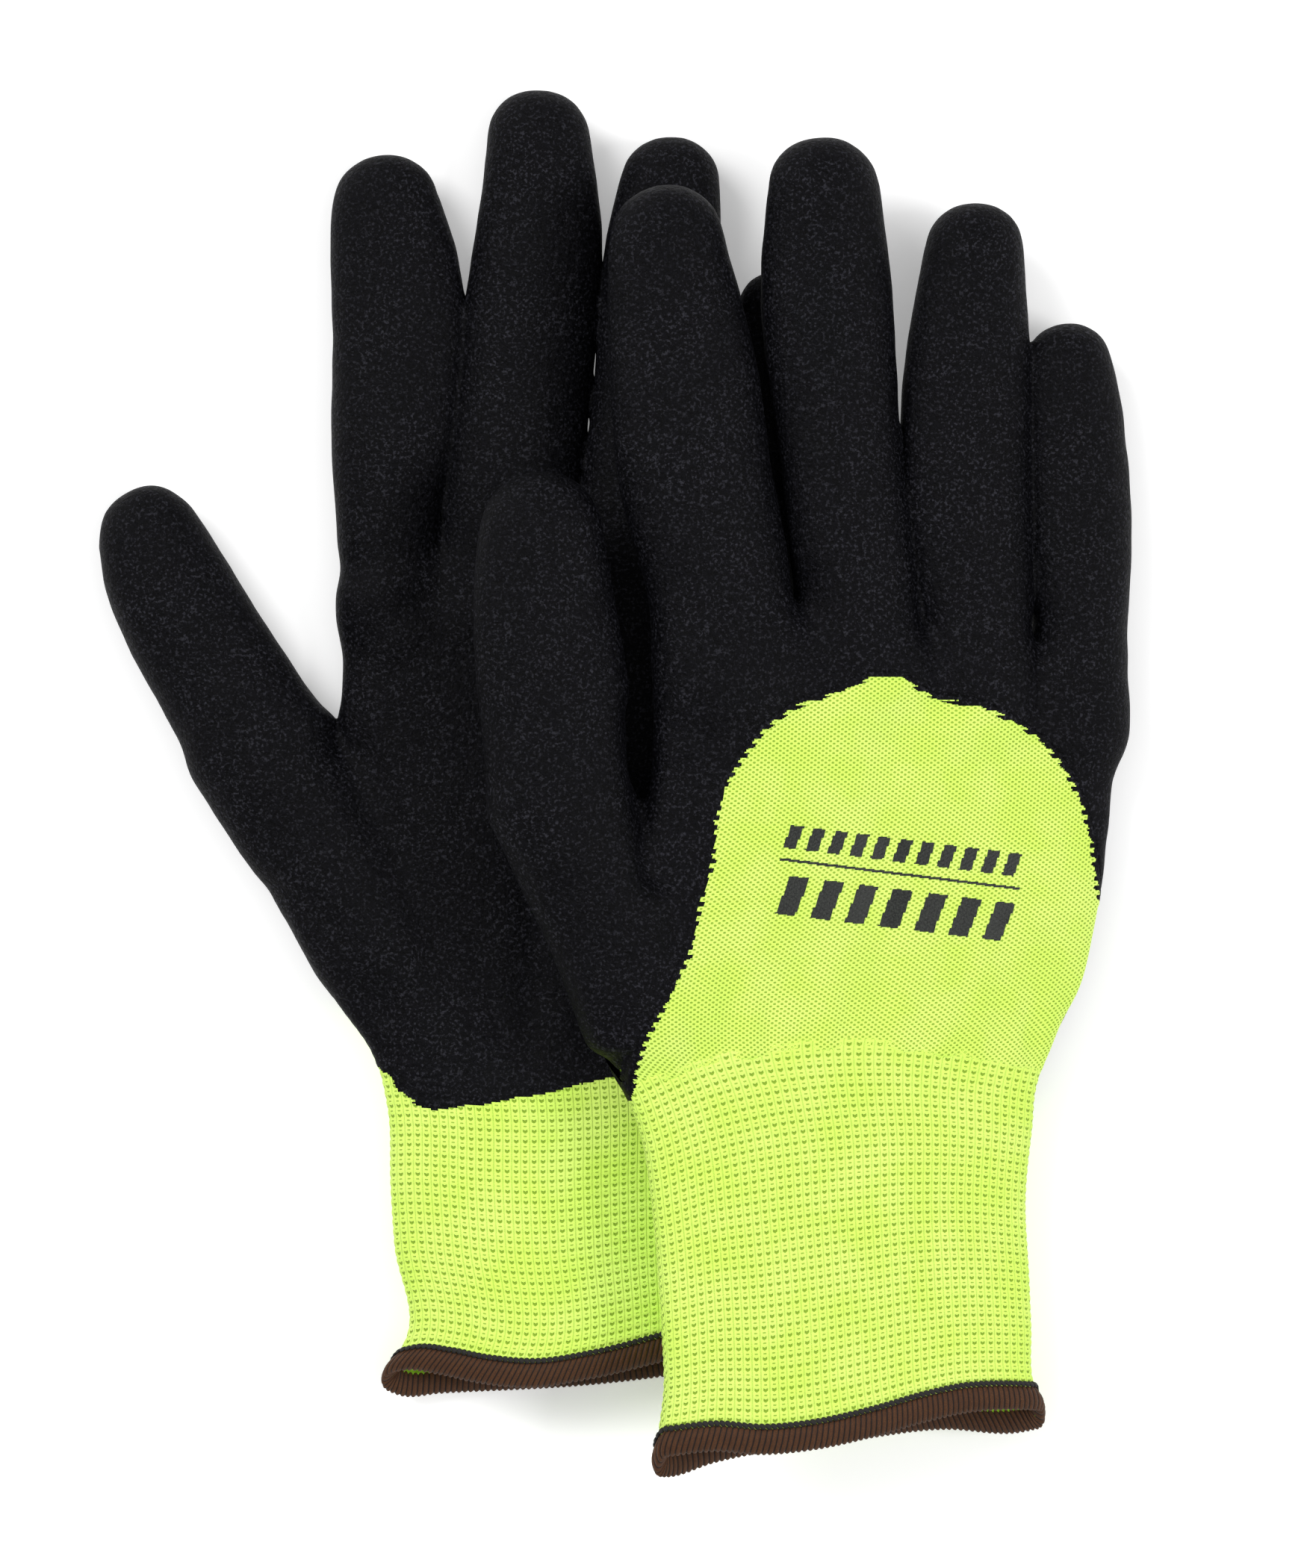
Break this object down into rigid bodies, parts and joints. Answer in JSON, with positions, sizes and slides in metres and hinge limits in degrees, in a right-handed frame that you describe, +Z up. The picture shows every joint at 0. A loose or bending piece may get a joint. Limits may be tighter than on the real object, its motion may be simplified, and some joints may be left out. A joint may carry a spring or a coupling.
{
  "type": "pair of work gloves",
  "caption": "Pair of dipped knit work gloves lying stacked: one palm up, the other on it back up, with ribbed cuffs and flexing fingers.",
  "frame": {"origin": "middle of the pair's footprint, on the table the gloves lie on", "axes": "+X to the right seen from above, +Y from the cuffs towards the fingertips, +Z up from the table"},
  "size_m": [0.1967, 0.2651, 0.04],
  "materials": {
    "foam_coating": "matt, fine-grained foam dip",
    "hand_knit": "fluorescent fine jersey knit",
    "cuff_rib": "fluorescent heavy rib knit",
    "hem_thread": "brown overlock thread",
    "looper_thread": "black looper thread",
    "elastic_yarn": "covered elastic yarn",
    "print_ink": "slightly glossy black transfer film"
  },
  "bodies": {
    "left_hand": {"left_hand_coating": "foam_coating", "left_hand_knit": "hand_knit", "left_cuff": "cuff_rib", "left_hem_binding": "hem_thread", "left_hem_stitch": "looper_thread", "left_cuff_elastic": "elastic_yarn", "left_back_print": "print_ink"},
    "left_thumb_lower": {"left_thumb_lower_coating": "foam_coating", "left_thumb_lower_knit": "hand_knit"},
    "left_thumb_tip": {"left_thumb_tip_coating": "foam_coating", "left_thumb_tip_knit": "hand_knit"},
    "left_index_lower": {"left_index_lower_coating": "foam_coating", "left_index_lower_knit": "hand_knit"},
    "left_index_tip": {"left_index_tip_coating": "foam_coating", "left_index_tip_knit": "hand_knit"},
    "left_middle_lower": {"left_middle_lower_coating": "foam_coating", "left_middle_lower_knit": "hand_knit"},
    "left_middle_tip": {"left_middle_tip_coating": "foam_coating", "left_middle_tip_knit": "hand_knit"},
    "left_ring_lower": {"left_ring_lower_coating": "foam_coating", "left_ring_lower_knit": "hand_knit"},
    "left_ring_tip": {"left_ring_tip_coating": "foam_coating", "left_ring_tip_knit": "hand_knit"},
    "left_little_lower": {"left_little_lower_coating": "foam_coating", "left_little_lower_knit": "hand_knit"},
    "left_little_tip": {"left_little_tip_coating": "foam_coating", "left_little_tip_knit": "hand_knit"},
    "right_hand": {"right_hand_coating": "foam_coating", "right_hand_knit": "hand_knit", "right_cuff": "cuff_rib", "right_hem_binding": "hem_thread", "right_hem_stitch": "looper_thread", "right_cuff_elastic": "elastic_yarn", "right_back_print": "print_ink"},
    "right_thumb_lower": {"right_thumb_lower_coating": "foam_coating", "right_thumb_lower_knit": "hand_knit"},
    "right_thumb_tip": {"right_thumb_tip_coating": "foam_coating", "right_thumb_tip_knit": "hand_knit"},
    "right_index_lower": {"right_index_lower_coating": "foam_coating", "right_index_lower_knit": "hand_knit"},
    "right_index_tip": {"right_index_tip_coating": "foam_coating", "right_index_tip_knit": "hand_knit"},
    "right_middle_lower": {"right_middle_lower_coating": "foam_coating", "right_middle_lower_knit": "hand_knit"},
    "right_middle_tip": {"right_middle_tip_coating": "foam_coating", "right_middle_tip_knit": "hand_knit"},
    "right_ring_lower": {"right_ring_lower_coating": "foam_coating", "right_ring_lower_knit": "hand_knit"},
    "right_ring_tip": {"right_ring_tip_coating": "foam_coating", "right_ring_tip_knit": "hand_knit"},
    "right_little_lower": {"right_little_lower_coating": "foam_coating", "right_little_lower_knit": "hand_knit"},
    "right_little_tip": {"right_little_tip_coating": "foam_coating", "right_little_tip_knit": "hand_knit"}
  },
  "joints": [
    {"name": "right_glove_lift", "type": "slide", "parent": "left_hand", "child": "right_hand", "axis": [0, 0, 1], "range_m": [0, 0.15]},
    {"name": "left_thumb_root_flex", "type": "hinge", "parent": "left_hand", "child": "left_thumb_lower", "pos_m": [-0.07439, 0.01745, 0.0067], "axis": [0.8959, 0.4443, 0], "range_deg": [0, 45]},
    {"name": "left_thumb_middle_flex", "type": "hinge", "parent": "left_thumb_lower", "child": "left_thumb_tip", "pos_m": [-0.08419, 0.03723, 0.0067], "axis": [0.8959, 0.4443, 0], "range_deg": [0, 49.5]},
    {"name": "left_index_root_flex", "type": "hinge", "parent": "left_hand", "child": "left_index_lower", "pos_m": [-0.04366, 0.0614, 0.0067], "axis": [0.9999, 0.0142, 0], "range_deg": [0, 60]},
    {"name": "left_index_middle_flex", "type": "hinge", "parent": "left_index_lower", "child": "left_index_tip", "pos_m": [-0.04408, 0.09105, 0.0067], "axis": [0.9999, 0.0142, 0], "range_deg": [0, 66]},
    {"name": "left_middle_root_flex", "type": "hinge", "parent": "left_hand", "child": "left_middle_lower", "pos_m": [-0.02009, 0.06287, 0.0067], "axis": [0.9973, -0.0737, 0], "range_deg": [0, 60]},
    {"name": "left_middle_middle_flex", "type": "hinge", "parent": "left_middle_lower", "child": "left_middle_tip", "pos_m": [-0.01749, 0.09799, 0.0067], "axis": [0.9973, -0.0737, 0], "range_deg": [0, 66]},
    {"name": "left_ring_root_flex", "type": "hinge", "parent": "left_hand", "child": "left_ring_lower", "pos_m": [0.00465, 0.06286, 0.0067], "axis": [0.9962, -0.0867, 0], "range_deg": [0, 60]},
    {"name": "left_ring_middle_flex", "type": "hinge", "parent": "left_ring_lower", "child": "left_ring_tip", "pos_m": [0.00733, 0.09358, 0.0067], "axis": [0.9962, -0.0867, 0], "range_deg": [0, 66]},
    {"name": "left_little_root_flex", "type": "hinge", "parent": "left_hand", "child": "left_little_lower", "pos_m": [0.02628, 0.05394, 0.0067], "axis": [0.9942, -0.1071, 0], "range_deg": [0, 60]},
    {"name": "left_little_middle_flex", "type": "hinge", "parent": "left_little_lower", "child": "left_little_tip", "pos_m": [0.02869, 0.07632, 0.0067], "axis": [0.9942, -0.1071, 0], "range_deg": [0, 66]},
    {"name": "right_thumb_root_flex", "type": "hinge", "parent": "right_hand", "child": "right_thumb_lower", "pos_m": [-0.01161, 0.00777, 0.03112], "axis": [0.9719, 0.071, -0.2244], "range_deg": [0, 35]},
    {"name": "right_thumb_middle_flex", "type": "hinge", "parent": "right_thumb_lower", "child": "right_thumb_tip", "pos_m": [-0.01337, 0.03319, 0.03153], "axis": [0.9719, 0.071, -0.2244], "range_deg": [0, 28]},
    {"name": "right_index_root_flex", "type": "hinge", "parent": "right_hand", "child": "right_index_lower", "pos_m": [0.01731, 0.047, 0.02445], "axis": [0.9652, 0.1369, -0.2228], "range_deg": [0, 40]},
    {"name": "right_index_middle_flex", "type": "hinge", "parent": "right_index_lower", "child": "right_index_tip", "pos_m": [0.01288, 0.0799, 0.02547], "axis": [0.9652, 0.1369, -0.2228], "range_deg": [0, 32]},
    {"name": "right_middle_root_flex", "type": "hinge", "parent": "right_hand", "child": "right_middle_lower", "pos_m": [0.04406, 0.04567, 0.01827], "axis": [0.9715, 0.077, -0.2243], "range_deg": [0, 40]},
    {"name": "right_middle_middle_flex", "type": "hinge", "parent": "right_middle_lower", "child": "right_middle_tip", "pos_m": [0.04116, 0.08418, 0.01894], "axis": [0.9715, 0.077, -0.2243], "range_deg": [0, 32]},
    {"name": "right_ring_root_flex", "type": "hinge", "parent": "right_hand", "child": "right_ring_lower", "pos_m": [0.06734, 0.0414, 0.0129], "axis": [0.9744, 0.005, -0.2249], "range_deg": [0, 40]},
    {"name": "right_ring_middle_flex", "type": "hinge", "parent": "right_ring_lower", "child": "right_ring_tip", "pos_m": [0.06717, 0.0762, 0.01294], "axis": [0.9744, 0.005, -0.2249], "range_deg": [0, 32]},
    {"name": "right_little_root_flex", "type": "hinge", "parent": "right_hand", "child": "right_little_lower", "pos_m": [0.08838, 0.03849, 0.00804], "axis": [0.9738, 0.0328, -0.2248], "range_deg": [0, 40]},
    {"name": "right_little_middle_flex", "type": "hinge", "parent": "right_little_lower", "child": "right_little_tip", "pos_m": [0.08758, 0.06345, 0.00822], "axis": [0.9738, 0.0328, -0.2248], "range_deg": [0, 32]}
  ],
  "couplings": [
    {"joint": "left_thumb_middle_flex", "follows": "left_thumb_root_flex", "ratio": 1.1},
    {"joint": "left_index_middle_flex", "follows": "left_index_root_flex", "ratio": 1.1},
    {"joint": "left_middle_middle_flex", "follows": "left_middle_root_flex", "ratio": 1.1},
    {"joint": "left_ring_root_flex", "follows": "right_glove_lift", "rad_per_m": 6.981},
    {"joint": "left_ring_middle_flex", "follows": "right_glove_lift", "rad_per_m": 7.679},
    {"joint": "left_little_root_flex", "follows": "right_glove_lift", "rad_per_m": 6.981},
    {"joint": "left_little_middle_flex", "follows": "right_glove_lift", "rad_per_m": 7.679},
    {"joint": "right_thumb_middle_flex", "follows": "right_thumb_root_flex", "ratio": 0.8},
    {"joint": "right_index_middle_flex", "follows": "right_index_root_flex", "ratio": 0.8},
    {"joint": "right_middle_middle_flex", "follows": "right_middle_root_flex", "ratio": 0.8},
    {"joint": "right_ring_middle_flex", "follows": "right_ring_root_flex", "ratio": 0.8},
    {"joint": "right_little_middle_flex", "follows": "right_little_root_flex", "ratio": 0.8}
  ]
}
